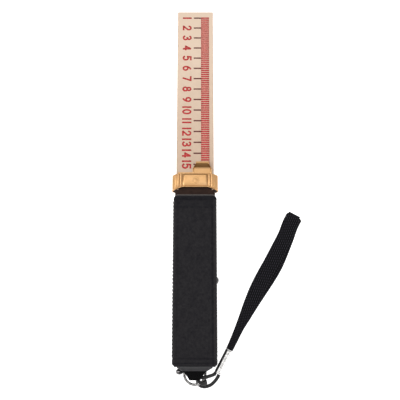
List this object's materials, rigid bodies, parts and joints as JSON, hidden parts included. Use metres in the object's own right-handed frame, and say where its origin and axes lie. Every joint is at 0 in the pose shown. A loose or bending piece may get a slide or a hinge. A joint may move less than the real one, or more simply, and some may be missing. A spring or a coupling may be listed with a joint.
{
  "type": "pocket leveling rod",
  "caption": "Pocket leveling rod: graduated staff sliding out of a flat leather-covered casing, with a gilt collar, a spring catch and a wrist strap on a shackle.",
  "frame": {"origin": "bottom centre of the rod without its strap, lying on its back", "axes": "+Y from the strap end to the staff's tip, +Z out of the graduated face, +X to the reader's right with the tip away"},
  "size_m": [0.1109, 0.3314, 0.0177],
  "materials": {
    "gilt": "satin",
    "staff_enamel": "matte",
    "steel": "brushed",
    "chrome": "polished",
    "leather": "matte grained",
    "black_metal": "satin",
    "webbing": "woven",
    "nylon": "matte",
    "rubber": "matte"
  },
  "bodies": {
    "case": {"casing_tube": "black_metal", "end_bumper": "rubber", "collar": "gilt", "collar_screw_1": "steel", "collar_screw_2": "steel", "mouth_guide": "black_metal", "friction_spring": "steel", "catch_hinge_pin": "steel", "sheath_front_panel": "leather", "sheath_back_panel": "leather", "seam_thread_left": "webbing", "seam_thread_right": "webbing", "sheath_mouth_hem": "leather", "sheath_foot_hem": "leather", "side_snap_stud": "black_metal", "end_cap": "black_metal", "end_cap_pin_1": "steel", "end_cap_pin_2": "steel"},
    "staff": {"rod_staff": "staff_enamel", "tip_plug": "black_metal", "staff_heel": "nylon", "heel_rivet_1": "steel", "heel_rivet_2": "steel", "guide_shoe_left": "nylon", "guide_shoe_right": "nylon"},
    "catch": {"catch_leaf": "gilt"},
    "shackle": {"shackle_bow": "chrome", "shackle_pin": "chrome", "lanyard_loop": "webbing", "cord_core": "webbing", "crimp_sleeve": "chrome", "wrist_strap": "webbing"}
  },
  "joints": [
    {"name": "rod_slide", "type": "slide", "parent": "case", "child": "staff", "axis": [0, 1, 0], "range_m": [-0.136, 0]},
    {"name": "catch_lift", "type": "hinge", "parent": "case", "child": "catch", "pos_m": [0, 0.008, 0.01455], "axis": [1, 0, 0], "range_deg": [0, 5], "stiffness_Nm_per_rad": 0.05},
    {"name": "shackle_swing", "type": "hinge", "parent": "case", "child": "shackle", "pos_m": [0, -0.1533, 0.007], "axis": [-1, 0, 0], "range_deg": [0, 14]}
  ]
}
